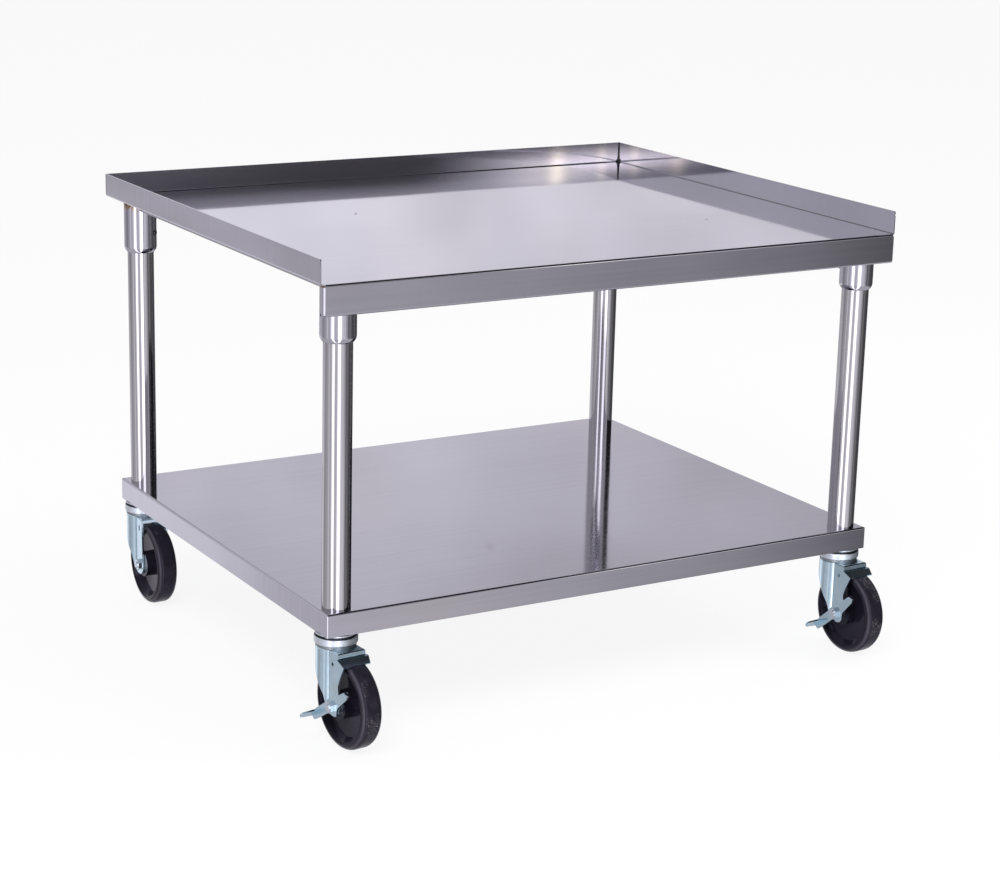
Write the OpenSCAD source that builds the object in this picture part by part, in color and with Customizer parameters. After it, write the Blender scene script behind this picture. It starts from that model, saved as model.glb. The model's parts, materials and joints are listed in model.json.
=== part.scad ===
// Mobile equipment stand: a folded sheet deck and under shelf on four tube legs with swivel casters.
// Millimetres, +X to the right, +Y to the back, +Z up. The floor is z = 0, and the origin is the
// middle of the whole stand's footprint.

/* [Deck] */
// Width of the deck over its raised edges
deck_w = 940; // [700:10:1400]
// Depth of the deck from the front apron to the back
deck_d = 750; // [600:10:900]
// Thickness of the deck's sheet
deck_t = 1.5; // [1:0.1:2.5]
// Height of the raised edges above the deck's surface
edge_h = 33; // [15:1:60]
// Inside radius of the folds
fold_r = 1.5; // [0.5:0.1:2.5]
// Distance from the apron's face back to the front ends of the raised edges
edge_setback = 4.3; // [3:0.1:12]
// Radius on the upper front corner of each raised side edge
edge_corner_r = 3.2; // [1:0.1:8]
// Width of the open seam between the back edge and each side edge
seam_gap = 0.6; // [0.3:0.1:1.5]
// Height of the front apron, from the deck's surface down
apron_h = 43; // [30:1:60]
// Distance that each end of the apron lies inside the raised edge
apron_inset = 2.5; // [2:0.1:6]
// Depth of the flange folded back along the apron's lower edge
apron_return = 10; // [6:1:20]
// Depth of the tab folded back at each end of the apron
apron_tab = 11; // [8:0.5:16]
// Gap between the top of each end tab and the deck
tab_gap = 2; // [0.5:0.1:4]
// Diameter of the relief hole in the lower corner of each end tab
relief_d = 4.6; // [2:0.1:5]
// Distance of the relief hole behind the apron's face
relief_back = 7.6; // [4:0.1:9]
// Height of the relief hole above the apron's lower edge
relief_up = 3.2; // [2:0.1:5]

/* [Deck channels] */
// Thickness of the channels' sheet
channel_t = 1.5; // [1:0.1:2.5]
// Width of the middle channel's web
mid_channel_w = 60; // [40:1:100]
// Depth of the middle channel
mid_channel_h = 20; // [10:1:30]
// Width of each side channel's web
side_channel_w = 24; // [16:1:36]
// Depth of each side channel
side_channel_h = 15; // [8:1:20]
// Width of the channels' welding flanges
channel_flange = 11; // [6:1:16]
// Gap between a channel's end and the next piece
channel_gap = 2; // [1:0.5:10]

/* [Legs] */
// Outside diameter of the leg tubes
leg_d = 40; // [32:0.5:48]
// Wall of the leg tubes
leg_t = 1.5; // [1:0.1:3]
// Length of the leg tubes
leg_len = 477; // [350:1:700]
// Distance from the deck's side to the centre of a leg
leg_in_x = 41.5; // [36:0.5:80]
// Gap between the flange under the apron and the front sockets
socket_gap = 0.75; // [0.3:0.05:30]

/* [Leg sockets] */
// Length of the sockets
socket_len = 82.6; // [50:0.1:120]
// Wall of the sockets
socket_t = 4.6; // [3:0.1:6]
// Radial clearance of a leg in its socket and in the shelf
leg_fit = 0.15; // [0.05:0.01:0.3]
// Thickness of the sockets' closed top
socket_cap = 3; // [2:0.1:6]
// Gap between the top of a leg and the socket's closed top
leg_top_gap = 3.5; // [0.5:0.1:8]
// Height of the rounded shoulder at the sockets' lower end
shoulder_h = 9; // [6:0.1:16]
// Thickness of the sockets' lower lip
shoulder_lip = 0.6; // [0.3:0.1:1.5]
// Diameter of the set screws
screw_d = 7; // [4:0.5:8]
// Radial clearance of the set screws
screw_fit = 0.05; // [0.02:0.01:0.1]
// Height of the set screws above the sockets' lower end
screw_up = 30.8; // [20:0.1:40]
// Angle of each set screw inward from the deck's long side
screw_turn = 48; // [45:1:90]
// Length of a set screw outside its socket
screw_proud = 1.6; // [0.3:0.1:4]
// Width across flats of a set screw's socket
screw_key = 3; // [2:0.5:4]

/* [Under shelf] */
// Thickness of the shelf's sheet
shelf_t = 1.2; // [0.8:0.1:2]
// Height of the shelf's turned-down edges
shelf_h = 33; // [25:1:50]
// Distance from a leg's surface out to the shelf's edge
shelf_reach = 7; // [7:0.1:20]
// Radius on the shelf's upright corners
shelf_corner_r = 1.8; // [1:0.1:2]
// Width of the flange folded inward at the bottom of the edges
shelf_return = 6; // [4:0.1:6]
// Width of the shelf channel's web
shelf_channel_w = 80; // [50:1:120]
// Depth of the shelf channel
shelf_channel_h = 20; // [10:1:24]
// Gap between the shelf channel's ends and the shelf's edges
shelf_channel_gap = 1; // [0.3:0.1:20]

/* [Wheels] */
// Diameter of the wheels
wheel_d = 127; // [110:1:150]
// Width of the wheels
wheel_w = 31.75; // [28:0.25:34]
// Radius on the shoulders of the tread
tread_r = 9; // [5:0.5:11]
// Radial depth of the tyre, from the tread to the rim's edge
tyre_depth = 9.5; // [9:0.1:16]
// Depth of the rim's edge below the side of the tread
rim_step = 1.4; // [0.5:0.1:3]
// Width of the rim's flat edge
rim_edge = 2; // [1:0.1:4]
// Radial height of the sloping inner side of the rim
rim_slope = 6; // [3:0.1:10]
// Half thickness of the wheel's web at the hub
web_half = 5; // [3:0.1:8]
// Diameter of the wheel's hub
hub_d = 40; // [30:1:50]
// Gap between the hub's end and the fork
hub_gap = 0.6; // [0.3:0.1:2]
// Outside diameter of the wheel bearings
bearing_d = 19; // [16:0.5:24]
// Radial clearance of a bearing in its wheel
bearing_fit = 0.05; // [0.01:0.01:0.1]

/* [Casters] */
// Distance of the wheel's axle from the swivel's axis
trail = 35; // [30:0.5:45]
// Gap between the top of the wheel and the fork's crown
crown_gap = 8.4; // [7:0.1:12]
// Thickness of the fork's sheet
fork_t = 2.8; // [2:0.1:4]
// Distance between the fork's legs
fork_gap = 38; // [36:0.5:44]
// Radius of the fork's round crown
crown_r = 28; // [26:0.5:34]
// Radius on the crown's upper edge
crown_round = 2.5; // [1.5:0.1:5]
// Distance that the crown reaches past the axle
crown_reach = 5.5; // [3:0.1:12]
// Depth of the lip at the crown's front and back, below its underside
lip_drop = 3.8; // [2:0.1:3.8]
// Distance of the fork legs' upper back edge behind the swivel's axis
fork_back = 17; // [10:0.5:22]
// Distance of the fork legs' lower tip below the axle
fork_tip = 17; // [12:0.5:24]
// Height of the shoe slots in the fork's legs
slot_h = 9; // [6:0.5:12]
// Diameter of the kingpin and the stem
stem_d = 12.7; // [10:0.1:16]
// Length of the stem inside the leg
stem_in_leg = 29; // [15:1:45]
// Length of the plug inside the leg
plug_len = 33; // [20:1:50]
// Clearance between a plug and the bore of its leg
plug_fit = 0.05; // [0.02:0.01:0.1]
// Diameter of the kingpin's head
kingpin_head_d = 22; // [18:1:26]
// Thickness of the kingpin's head
kingpin_head_h = 4.6; // [3:0.1:4.8]
// Radial clearance of the parts that turn on each other
running_fit = 0.07; // [0.03:0.01:0.1]
// Side clearance of the parts that turn on each other
side_gap = 0.2; // [0.1:0.05:0.5]
// Height of the swivel ring above the crown
ring_h = 14; // [13:0.1:18]
// Radius of the swivel ring's upper bead
ring_r = 30.2; // [28.5:0.1:31]
// Height of the swivel ring's neck below the bead
ring_neck_h = 3.6; // [3:0.1:7]
// Depth by which the neck lies inside the bead
ring_neck_in = 1.9; // [0.5:0.1:2]
// Radius on the edges of the swivel ring's bead
bead_round = 1.6; // [0.5:0.1:1.8]
// Width of the rim round the swivel ring's top
ring_rim = 2.3; // [1.8:0.1:2.4]
// Depth of the swivel ring's top below its rim
ring_dish = 1.3; // [0.5:0.1:1.8]
// Gap between the swivel ring's rim and the top race's plate
race_gap = 2.9; // [1.4:0.1:3]
// Radius of the top race's plate
race_r = 29; // [28:0.1:31]
// Thickness of the top race's plate
race_t = 1.9; // [1.6:0.1:3]
// Gap between the top race and the dish of the swivel ring, below it and round it
race_clear = 0.5; // [0.3:0.1:0.8]
// Diameter of the bearing balls
ball_d = 7; // [6:0.1:7.4]
// Depth of the balls' centres below the swivel ring's rim
ball_sink = 1.1; // [1:0.1:1.4]
// Wall between the balls and the inner edge of each raceway
race_wall = 1.5; // [1:0.1:3]
// Radius of the circle of balls
ball_pitch_r = 20; // [18:0.1:21]
// Balls in each swivel
balls = 16; // [8:1:17]
// Clearance between the balls and their raceways
ball_fit = 0.03; // [0.01:0.01:0.1]
// Outside diameter of the axle sleeves
sleeve_d = 12.7; // [11:0.1:14]
// Diameter of the axle bolts
bolt_d = 9.52; // [8:0.01:10]
// Radial clearance of the axle bolts in their nuts and sleeves
bolt_fit = 0.05; // [0.02:0.01:0.14]
// Radial clearance of the axle bolts in the forks
fork_hole_fit = 0.14; // [0.05:0.01:0.14]
// Width across flats of the bolt heads and nuts
hex_w = 15; // [13:0.5:18]
// Height of the bolt heads
bolt_head_h = 6.4; // [4:0.1:8]
// Height of the plain nuts
nut_h = 6.5; // [4:0.1:8]
// Height of the thin nuts outside the brake levers
brake_nut_h = 4.5; // [3:0.1:8]
// Length of the bolts past their nuts
bolt_proud = 2; // [0.5:0.1:4]
// Angle at which the front left caster stands
fl_swivel_angle = 4.9; // [-180:0.1:180]
// Angle at which the front right caster stands
fr_swivel_angle = 1.4; // [-180:0.1:180]
// Angle at which the rear left caster stands
rl_swivel_angle = 0; // [-180:0.1:180]
// Angle at which the rear right caster stands
rr_swivel_angle = 0; // [-180:0.1:180]

/* [Brakes] */
// Downward tilt of the front left brake pedal, pressed on
fl_pedal_tilt = 29; // [20:0.5:40]
// Downward tilt of the front right brake pedal, pressed on
fr_pedal_tilt = 36; // [20:0.5:40]
// Thickness of the brake levers
lever_t = 2.5; // [2:0.1:4]
// Length of a lever's spacer between the fork and its plate
lever_spacer = 4.5; // [3:0.1:6]
// Radius of a lever's spacer
lever_spacer_r = 9; // [7:0.1:10]
// Length of a lever's pedal arm, from the axle to the tip
pedal_len = 56; // [45:1:65]
// Length of a lever's cam arm, from the axle to its flange's front end
cam_len = 43; // [35:1:48]
// Height of the cam arm's front end above the axle, in the lever's own plane
cam_h = 11; // [9:0.5:14]
// Height of the cam flange's back end above the axle, in the lever's own plane
cam_back_h = 9; // [7:0.5:11]
// Distance of the cam flange's back end behind the axle
cam_back = 8; // [5:0.5:10]
// Thickness of the cam flange
cam_t = 2.2; // [1.5:0.1:3]
// Distance from the pedal's tip back to its foot plate
toe_back = 11.4; // [10:0.1:13]
// Height of the foot plate above the axle, in the lever's own plane
toe_rise = 5; // [3:0.1:6]
// Width of the foot plate on the pedal, along the pedal
toe_w = 12.4; // [8:0.1:14]
// Length of the foot plate, outward from the lever
toe_len = 21; // [10:1:30]
// Amount by which the foot plate's outer end is narrower on each side
toe_taper = 2; // [0:0.5:4]
// Thickness of the brake shoes
shoe_t = 2; // [1.5:0.1:3]
// Distance of a shoe's lower edge in front of the axle
shoe_reach = 23; // [18:0.5:25]
// Amount by which a shoe's lower edge is shorter than its upper edge, on the right
shoe_taper = 5.5; // [3:0.5:7]
// Gap between the crown's underside and a shoe's upper edge
shoe_top_gap = 4.6; // [1.5:0.1:5]
// Width of the flat strip along a shoe's upper edge
shoe_flat = 3.5; // [2:0.1:5]
// Gap between a shoe and the tread, and between a shoe and its lever
shoe_gap = 0.3; // [0.3:0.05:1]
// Side clearance between a shoe's cheeks and the fork
cheek_gap = 0.15; // [0.1:0.05:0.5]
// Distance of a shoe's pivot behind the axle
shoe_pivot_back = 4; // [2:0.5:8]
// Distance of a shoe's pivot below the crown's underside
shoe_pivot_drop = 13.4; // [11:0.1:15]
// Diameter of a shoe's pivot pegs
peg_d = 4; // [3:0.1:5]
// Diameter of the dimple pressed into each cheek at its peg
dimple_d = 4.6; // [1.5:0.1:6]
// Depth of that dimple
dimple_depth = 1.4; // [0.5:0.1:1.6]

/* [Hidden] */
$fn = 64;
CORNERS = ["fl", "fr", "rl", "rr"];
FRONT = [0, 1];
ALL = [0, 1, 2, 3];
SIDE_X = [-1, 1, -1, 1];
SIDE_Y = [-1, -1, 1, 1];
SWIVEL = [fl_swivel_angle, fr_swivel_angle, rl_swivel_angle, rr_swivel_angle];
PEDAL = [fl_pedal_tilt, fr_pedal_tilt];

// Heights, from the floor up
axle_z = wheel_d / 2;
crown_z = wheel_d + crown_gap;
crown_top = crown_z + fork_t;
ring_top = crown_top + ring_h;
race_z = ring_top - ring_dish + race_clear;
race_plate_z = ring_top + race_gap;
leg_z = race_plate_z + race_t;
leg_top = leg_z + leg_len;
shelf_z = leg_z;
shelf_top = shelf_z + shelf_h;
socket_top = leg_top + leg_top_gap + socket_cap;
socket_z = socket_top - socket_len;
deck_z = socket_top;
deck_top = deck_z + deck_t;
edge_top = deck_top + edge_h;
apron_z = deck_top - apron_h;
ball_z = ring_top - ball_sink;

// Places in plan, with the leg centres set out from the middle of the deck
leg_r = leg_d / 2;
socket_r = leg_r + leg_fit + socket_t;
leg_x = deck_w / 2 - leg_in_x;
leg_y = deck_d / 2 - apron_return - socket_gap - socket_r;
front_reach = leg_y + trail + wheel_d / 2;
stand_y = (front_reach - deck_d / 2) / 2;
fold_out = fold_r + deck_t;
apron_half = deck_w / 2 - apron_inset;
shelf_half_x = leg_x + leg_r + shelf_reach;
shelf_half_y = leg_y + leg_r + shelf_reach;
past = 1;

// Sizes of one caster, in its own frame: the swivel's axis is x = y = 0 and the wheel trails to -Y
fork_half_in = fork_gap / 2;
fork_half = fork_half_in + fork_t;
wheel_r = wheel_d / 2;
hub_half = fork_half_in - hub_gap;
shoe_pivot = [-trail + shoe_pivot_back, crown_z - shoe_pivot_drop];
cheek_x = fork_half + cheek_gap;
lever_x = fork_half + side_gap;
lever_plate_x = lever_x + lever_spacer;
lever_face_x = lever_plate_x + lever_t;
brake_nut_x = lever_face_x + side_gap / 2;
shoe_top = crown_z - shoe_top_gap;
shoe_back = -trail - 7;
shoe_fall = 0.7;
bend_min = 0.3;

STEEL = [0.78, 0.79, 0.81];
TUBE = [0.72, 0.73, 0.76];
ZINC = [0.74, 0.80, 0.84];
BLACK = [0.07, 0.07, 0.08];
DARK = [0.25, 0.26, 0.28];

// Points of an outline whose corners are [x, y, radius]; a radius of 0 keeps the corner sharp
function rounded(p, steps = 5) = [for (i = [0:len(p) - 1])
    each corner_arc(p[(i + len(p) - 1) % len(p)], p[i], p[(i + 1) % len(p)], steps)];
function flat(p) = [p.x, p.y];
function corner_arc(before, at, after, steps) = at[2] == 0 ? [flat(at)] :
    let (a = unit(flat(before) - flat(at)), b = unit(flat(after) - flat(at)))
    let (half = acos(a * b) / 2, middle = flat(at) + unit(a + b) * at[2] / sin(half))
    let (start = flat(at) + a * at[2] / tan(half) - middle, end = flat(at) + b * at[2] / tan(half) - middle)
    let (from = atan2(start.y, start.x), turn = atan2(end.y, end.x) - from)
    let (sweep = turn > 180 ? turn - 360 : turn < -180 ? turn + 360 : turn)
    [for (k = [0:steps]) middle + at[2] * [cos(from + sweep * k / steps), sin(from + sweep * k / steps)]];
function unit(v) = v / norm(v);

// Height of the tread at a distance in front of the axle
function tread_z(ahead) = axle_z + sqrt(wheel_r * wheel_r - ahead * ahead);

// A point [u, v] of the lever's own plane, turned with the pedal and set at the axle
function lever_point(tilt, u, v) =
    [-trail + u * cos(tilt) + v * sin(tilt), axle_z - u * sin(tilt) + v * cos(tilt)];

// Height of the cam flange's upper face above the floor at y
function cam_z(tilt, y) =
    let (a = lever_point(tilt, -cam_len, cam_h), b = lever_point(tilt, cam_back, cam_back_h))
    a.y + (b.y - a.y) * (y - a.x) / (b.x - a.x);

// Extrudes an outline drawn as [y, z] along X
module along_x(from, to) {
    translate([from, 0, 0])
        rotate([90, 0, 90])
            linear_extrude(to - from)
                children();
}

// The same with the two ends in any order
module between_x(one, other) {
    along_x(min(one, other), max(one, other))
        children();
}

// Extrudes an outline drawn as [x, z] along Y
module along_y(from, to) {
    translate([0, to, 0])
        rotate([90, 0, 0])
            linear_extrude(to - from)
                children();
}

module box(low, high) {
    translate(low)
        cube(high - low);
}

// A round bar along X
module bar_x(from, to, r) {
    translate([from, 0, 0])
        rotate([0, 90, 0])
            cylinder(h = to - from, r = r);
}

// A hexagonal bar along X, with flats above and below
module hex_x(from, to, across) {
    translate([from, 0, 0])
        rotate([0, 90, 0])
            cylinder(h = to - from, d = across / cos(30), $fn = 6);
}

// A tall outline from low to high with both lower corners rounded
module round_bottom(half, low, high, r) {
    translate([-half, low + r])
        square([2 * half, high - low - r]);
    translate([-half + r, low])
        square([2 * (half - r), high - low]);
    for (s = [-1, 1])
        translate([s * (half - r), low + r])
            circle(r);
}

// The same outline with one rounded lower corner, at the high end of its range
module round_end(from, to, low, high, r) {
    translate([from, low + r])
        square([to - from, high - low - r]);
    translate([from, low])
        square([to - from - r, high - low]);
    translate([to - r, low + r])
        circle(r);
}

// A top-hat channel's outline, open side up at the height top
module hat(web, depth, flange, t, top) {
    half = web / 2;
    polygon([
        [-half - flange, top], [-half - flange, top - t], [-half, top - t], [-half, top - depth],
        [half, top - depth], [half, top - t], [half + flange, top - t], [half + flange, top],
        [half - t, top], [half - t, top - depth + t], [-half + t, top - depth + t], [-half + t, top]
    ]);
}

module at_stand() {
    translate([0, stand_y, 0])
        children();
}

module at_leg(i) {
    translate([SIDE_X[i] * leg_x, stand_y + SIDE_Y[i] * leg_y, 0])
        children();
}

module at_swivel(i) {
    at_leg(i)
        rotate([0, 0, SWIVEL[i]])
            children();
}

module at_axle(i) {
    at_swivel(i)
        translate([0, -trail, axle_z])
            children();
}

// Deck

module deck_tray() {
    half = deck_w / 2;
    front = -deck_d / 2 + edge_setback;
    back = deck_d / 2;
    difference() {
        intersection() {
            along_y(-deck_d, deck_d)
                round_bottom(half, deck_z, edge_top, fold_out);
            along_x(-deck_w, deck_w)
                difference() {
                    round_end(front, back, deck_z, edge_top, fold_out);
                    translate([front, edge_top - edge_corner_r])
                        difference() {
                            square(2 * edge_corner_r, center = true);
                            translate([edge_corner_r, 0])
                                circle(edge_corner_r);
                        }
                }
        }
        intersection() {
            along_y(-deck_d, deck_d)
                round_bottom(half - deck_t, deck_top, edge_top + past, fold_r);
            along_x(-deck_w, deck_w)
                round_end(-deck_d, back - deck_t, deck_top, edge_top + past, fold_r);
        }
        for (s = [-1, 1])
            mirror([s < 0 ? 1 : 0, 0, 0])
                box(
                    [half - deck_t - past, back - deck_t - seam_gap, deck_top + fold_out],
                    [half + past, back - deck_t, edge_top + past]
                );
    }
}

// The front fold, the apron and its return, as a bent strip drawn as [y, z]
module apron_outline() {
    face = -deck_d / 2;
    translate([face, apron_z + fold_out])
        square([deck_t, apron_h - 2 * fold_out]);
    translate([face + fold_out, deck_z])
        square([edge_setback + past, deck_t]);
    translate([face + fold_out, apron_z])
        square([apron_return - fold_out, deck_t]);
    for (z = [apron_z + fold_out, deck_top - fold_out])
        translate([face + fold_out, z])
            intersection() {
                difference() {
                    circle(fold_out);
                    circle(fold_r);
                }
                translate([-fold_out, z > deck_z - fold_out ? 0 : -fold_out])
                    square(fold_out);
            }
}

// The fold and the tab at the apron's right end
module apron_end() {
    face = -deck_d / 2;
    top = deck_z - tab_gap;
    translate([apron_half - fold_out, face + fold_out, apron_z + fold_out])
        linear_extrude(top - apron_z - fold_out)
            intersection() {
                difference() {
                    circle(fold_out);
                    circle(fold_r);
                }
                translate([0, -fold_out])
                    square(fold_out);
            }
    difference() {
        box([apron_half - deck_t, face + fold_out, apron_z], [apron_half, face + apron_tab, top]);
        translate([0, face + relief_back, apron_z + relief_up])
            bar_x(apron_half - 2 * deck_t, apron_half + past, relief_d / 2);
    }
}

module top_deck() {
    color(STEEL)
        at_stand() {
            deck_tray();
            along_x(-apron_half + fold_out, apron_half - fold_out)
                apron_outline();
            box(
                [-apron_half, -deck_d / 2 + fold_out, deck_z],
                [apron_half, -deck_d / 2 + edge_setback + past, deck_top]
            );
            for (s = [0, 1])
                mirror([s, 0, 0])
                    apron_end();
        }
}

module mid_channel() {
    half = leg_x - socket_r - channel_gap - side_channel_w / 2;
    color(TUBE)
        at_stand()
            along_x(-half, half)
                hat(mid_channel_w, mid_channel_h, channel_flange, channel_t, deck_z);
}

module side_channel(side) {
    half = leg_y - socket_r - channel_gap;
    color(TUBE)
        at_stand()
            translate([side * leg_x, 0, 0])
                along_y(-half, half)
                    hat(side_channel_w, side_channel_h, channel_flange, channel_t, deck_z);
}

// Sockets and legs

module socket(i) {
    lip_r = leg_r + leg_fit + shoulder_lip;
    drop = socket_r - lip_r;
    round_r = (drop * drop + shoulder_h * shoulder_h) / (2 * drop);
    color(STEEL)
        at_leg(i)
            difference() {
                rotate_extrude() {
                    translate([0, socket_z + shoulder_h])
                        square([socket_r, socket_len - shoulder_h]);
                    intersection() {
                        translate([0, socket_z])
                            square([socket_r, shoulder_h]);
                        translate([socket_r - round_r, socket_z + shoulder_h])
                            circle(round_r, $fn = 128);
                    }
                }
                translate([0, 0, socket_z - past])
                    cylinder(h = socket_len - socket_cap + past, r = leg_r + leg_fit);
                at_screw(i)
                    bar_x(0, socket_r + past, screw_d / 2 + screw_fit);
            }
}

// A socket's set screw lies along +X here, and points inward between its neighbouring sockets
module at_screw(i) {
    translate([0, 0, socket_z + screw_up])
        rotate([0, 0, atan2(-SIDE_Y[i] * sin(screw_turn), -SIDE_X[i] * cos(screw_turn))])
            children();
}

module set_screws() {
    color(ZINC)
        for (i = ALL)
            at_leg(i)
                at_screw(i)
                    difference() {
                        bar_x(leg_r, socket_r + screw_proud, screw_d / 2);
                        hex_x(socket_r, socket_r + screw_proud + past, screw_key);
                    }
}

module leg(i) {
    color(TUBE)
        at_leg(i)
            difference() {
                translate([0, 0, leg_z])
                    cylinder(h = leg_len, r = leg_r);
                translate([0, 0, leg_z - past])
                    cylinder(h = leg_len + 2 * past, r = leg_r - leg_t);
            }
}

// Under shelf

module under_shelf() {
    low = shelf_z;
    fold = fold_r + shelf_t;
    color(STEEL)
        at_stand()
            difference() {
                intersection() {
                    along_y(-shelf_half_y, shelf_half_y)
                        shelf_outline(shelf_half_x, low, shelf_top, fold);
                    along_x(-shelf_half_x, shelf_half_x)
                        shelf_outline(shelf_half_y, low, shelf_top, fold);
                    translate([0, 0, low])
                        linear_extrude(shelf_h)
                            round_rectangle(shelf_half_x, shelf_half_y, shelf_corner_r);
                }
                intersection() {
                    along_y(-shelf_half_y, shelf_half_y)
                        shelf_outline(shelf_half_x - shelf_t, low + shelf_t, shelf_top - shelf_t, fold_r);
                    along_x(-shelf_half_x, shelf_half_x)
                        shelf_outline(shelf_half_y - shelf_t, low + shelf_t, shelf_top - shelf_t, fold_r);
                }
                box(
                    [-shelf_half_x + shelf_return, -shelf_half_y + shelf_return, low - past],
                    [shelf_half_x - shelf_return, shelf_half_y - shelf_return, low + shelf_t + past]
                );
                for (i = ALL)
                    translate([SIDE_X[i] * leg_x, SIDE_Y[i] * leg_y, low - past])
                        cylinder(h = shelf_h + 2 * past, r = leg_r + leg_fit);
            }
}

// An outline with both upper corners rounded
module shelf_outline(half, low, high, r) {
    translate([0, low + high])
        mirror([0, 1])
            round_bottom(half, low, high, r);
}

module round_rectangle(half_x, half_y, r) {
    square([2 * half_x, 2 * (half_y - r)], center = true);
    square([2 * (half_x - r), 2 * half_y], center = true);
    for (x = [r - half_x, half_x - r], y = [r - half_y, half_y - r])
        translate([x, y])
            circle(r);
}

module shelf_channel() {
    half = shelf_half_x - shelf_t - fold_r - shelf_channel_gap;
    color(TUBE)
        at_stand()
            along_x(-half, half)
                hat(shelf_channel_w, shelf_channel_h, channel_flange, channel_t, shelf_top - shelf_t);
}

// Casters: the part that stays with the leg

module stem_plugs() {
    color(DARK)
        for (i = ALL)
            at_leg(i)
                translate([0, 0, leg_z])
                    difference() {
                        cylinder(h = plug_len, r = leg_r - leg_t - plug_fit);
                        translate([0, 0, -past])
                            cylinder(h = plug_len + 2 * past, d = stem_d + 2 * plug_fit);
                    }
}

module stem(i) {
    head_z = crown_z - side_gap;
    color(ZINC)
        at_leg(i) {
            translate([0, 0, head_z - kingpin_head_h])
                cylinder(h = kingpin_head_h, d = kingpin_head_d);
            translate([0, 0, head_z - kingpin_head_h / 2])
                cylinder(h = leg_z + stem_in_leg - head_z + kingpin_head_h / 2, d = stem_d);
        }
}

// The ring-shaped groove that the balls run in
module raceway() {
    translate([0, 0, ball_z])
        rotate_extrude()
            translate([ball_pitch_r, 0])
                circle(ball_d / 2 + ball_fit);
}

module top_race(i) {
    inner = ball_pitch_r - ball_d / 2 - race_wall;
    color(ZINC)
        at_leg(i)
            difference() {
                union() {
                    translate([0, 0, race_plate_z])
                        cylinder(h = race_t, r = race_r);
                    translate([0, 0, race_z])
                        cylinder(h = leg_z - race_z, r = ring_r - ring_rim - race_clear);
                }
                translate([0, 0, race_z - past])
                    cylinder(h = race_plate_z - race_z + past, r = inner);
                translate([0, 0, race_z])
                    cylinder(h = leg_z - race_z + past, d = stem_d + 2 * plug_fit);
                raceway();
            }
}

module swivel_balls() {
    color(STEEL)
        for (i = ALL)
            at_leg(i)
                for (k = [0:balls - 1])
                    rotate([0, 0, 360 * k / balls])
                        translate([ball_pitch_r, 0, ball_z])
                            sphere(d = ball_d, $fn = 24);
}

// Casters: the part that swivels

module swivel_ring(i) {
    inner = ball_pitch_r - ball_d / 2 - race_wall;
    neck_top = crown_top + ring_neck_h;
    color(ZINC)
        at_swivel(i)
            difference() {
                union() {
                    translate([0, 0, crown_top])
                        cylinder(h = ring_h - past, r = ring_r - ring_neck_in);
                    ring_bead(neck_top, ring_top, ring_r);
                }
                translate([0, 0, ring_top - ring_dish])
                    cylinder(h = ring_dish + past, r = ring_r - ring_rim);
                translate([0, 0, neck_top])
                    cylinder(h = ring_h, r = inner);
                translate([0, 0, crown_top - past])
                    cylinder(h = ring_h, d = stem_d + 2 * running_fit);
                raceway();
            }
}

// A disc whose outer edges are rounded
module ring_bead(low, high, r) {
    translate([0, 0, low])
        cylinder(h = high - low, r = r - bead_round);
    translate([0, 0, low + bead_round])
        cylinder(h = high - low - 2 * bead_round, r = r);
    for (z = [low + bead_round, high - bead_round])
        translate([0, 0, z])
            rotate_extrude()
                translate([r - bead_round, 0])
                    circle(bead_round);
}

// The outline of the fork's legs, as [y, z, corner radius]
function fork_points() = [
    [-trail - crown_reach, crown_top, crown_round],
    [crown_r + past, crown_top, 0],
    [crown_r + past, crown_z - lip_drop / 2, 0],
    [fork_back, crown_z - lip_drop / 2, 0],
    [fork_back, crown_z - 23, 12],
    [-trail + 25, axle_z + 9.5, 10],
    [-trail + 17.4, axle_z - fork_tip, 13],
    [-trail - 10, axle_z - fork_tip, 13],
    [-trail - 7, axle_z + 22, 8]
];

// The room inside a round crown that runs on to the front as two flat walls
module crown_solid(r, half, top, shoulder) {
    rotate_extrude() {
        square([r - shoulder, top]);
        square([r, top - shoulder]);
        translate([r - shoulder, top - shoulder])
            circle(shoulder);
    }
    along_y(-2 * trail, 0)
        translate([0, top])
            mirror([0, 1])
                round_bottom(half, 0, top, shoulder);
}

module fork(i) {
    front = -trail - crown_reach;
    shoulder = max(crown_round - fork_t, bend_min);
    color(ZINC)
        at_swivel(i)
            difference() {
                union() {
                    difference() {
                        fork_blank();
                        crown_solid(crown_r - fork_t, fork_half_in, crown_z, shoulder);
                    }
                    intersection() {
                        fork_blank();
                        box(
                            [-fork_half_in - shoulder, front, crown_z - lip_drop],
                            [fork_half_in + shoulder, front + fork_t, crown_z + fork_t / 2]
                        );
                    }
                }
                translate([0, 0, crown_z - past])
                    cylinder(h = fork_t + 2 * past, d = stem_d + 2 * running_fit);
                translate([0, -trail, axle_z])
                    bar_x(-fork_half - past, fork_half + past, bolt_d / 2 + fork_hole_fit);
                along_x(-fork_half - past, fork_half + past)
                    slot_outline(shoe_pivot, peg_d + 2 * running_fit, slot_h);
            }
}

module fork_blank() {
    intersection() {
        crown_solid(crown_r, fork_half, crown_top, crown_round);
        along_x(-crown_r - past, crown_r + past)
            polygon(rounded(fork_points()));
    }
}

// An upright slot with round ends
module slot_outline(at, wide, high) {
    translate([at.x - wide / 2, at.y - high / 2 + wide / 2])
        square([wide, high - wide]);
    for (s = [-1, 1])
        translate([at.x, at.y + s * (high - wide) / 2])
            circle(wide / 2);
}

module axle_bolt(i, braked) {
    end = braked ? brake_nut_x + brake_nut_h : fork_half + nut_h;
    color(ZINC)
        at_axle(i) {
            bar_x(-end - bolt_proud, fork_half + past, bolt_d / 2);
            hex_x(fork_half, fork_half + bolt_head_h, hex_w);
        }
}

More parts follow.
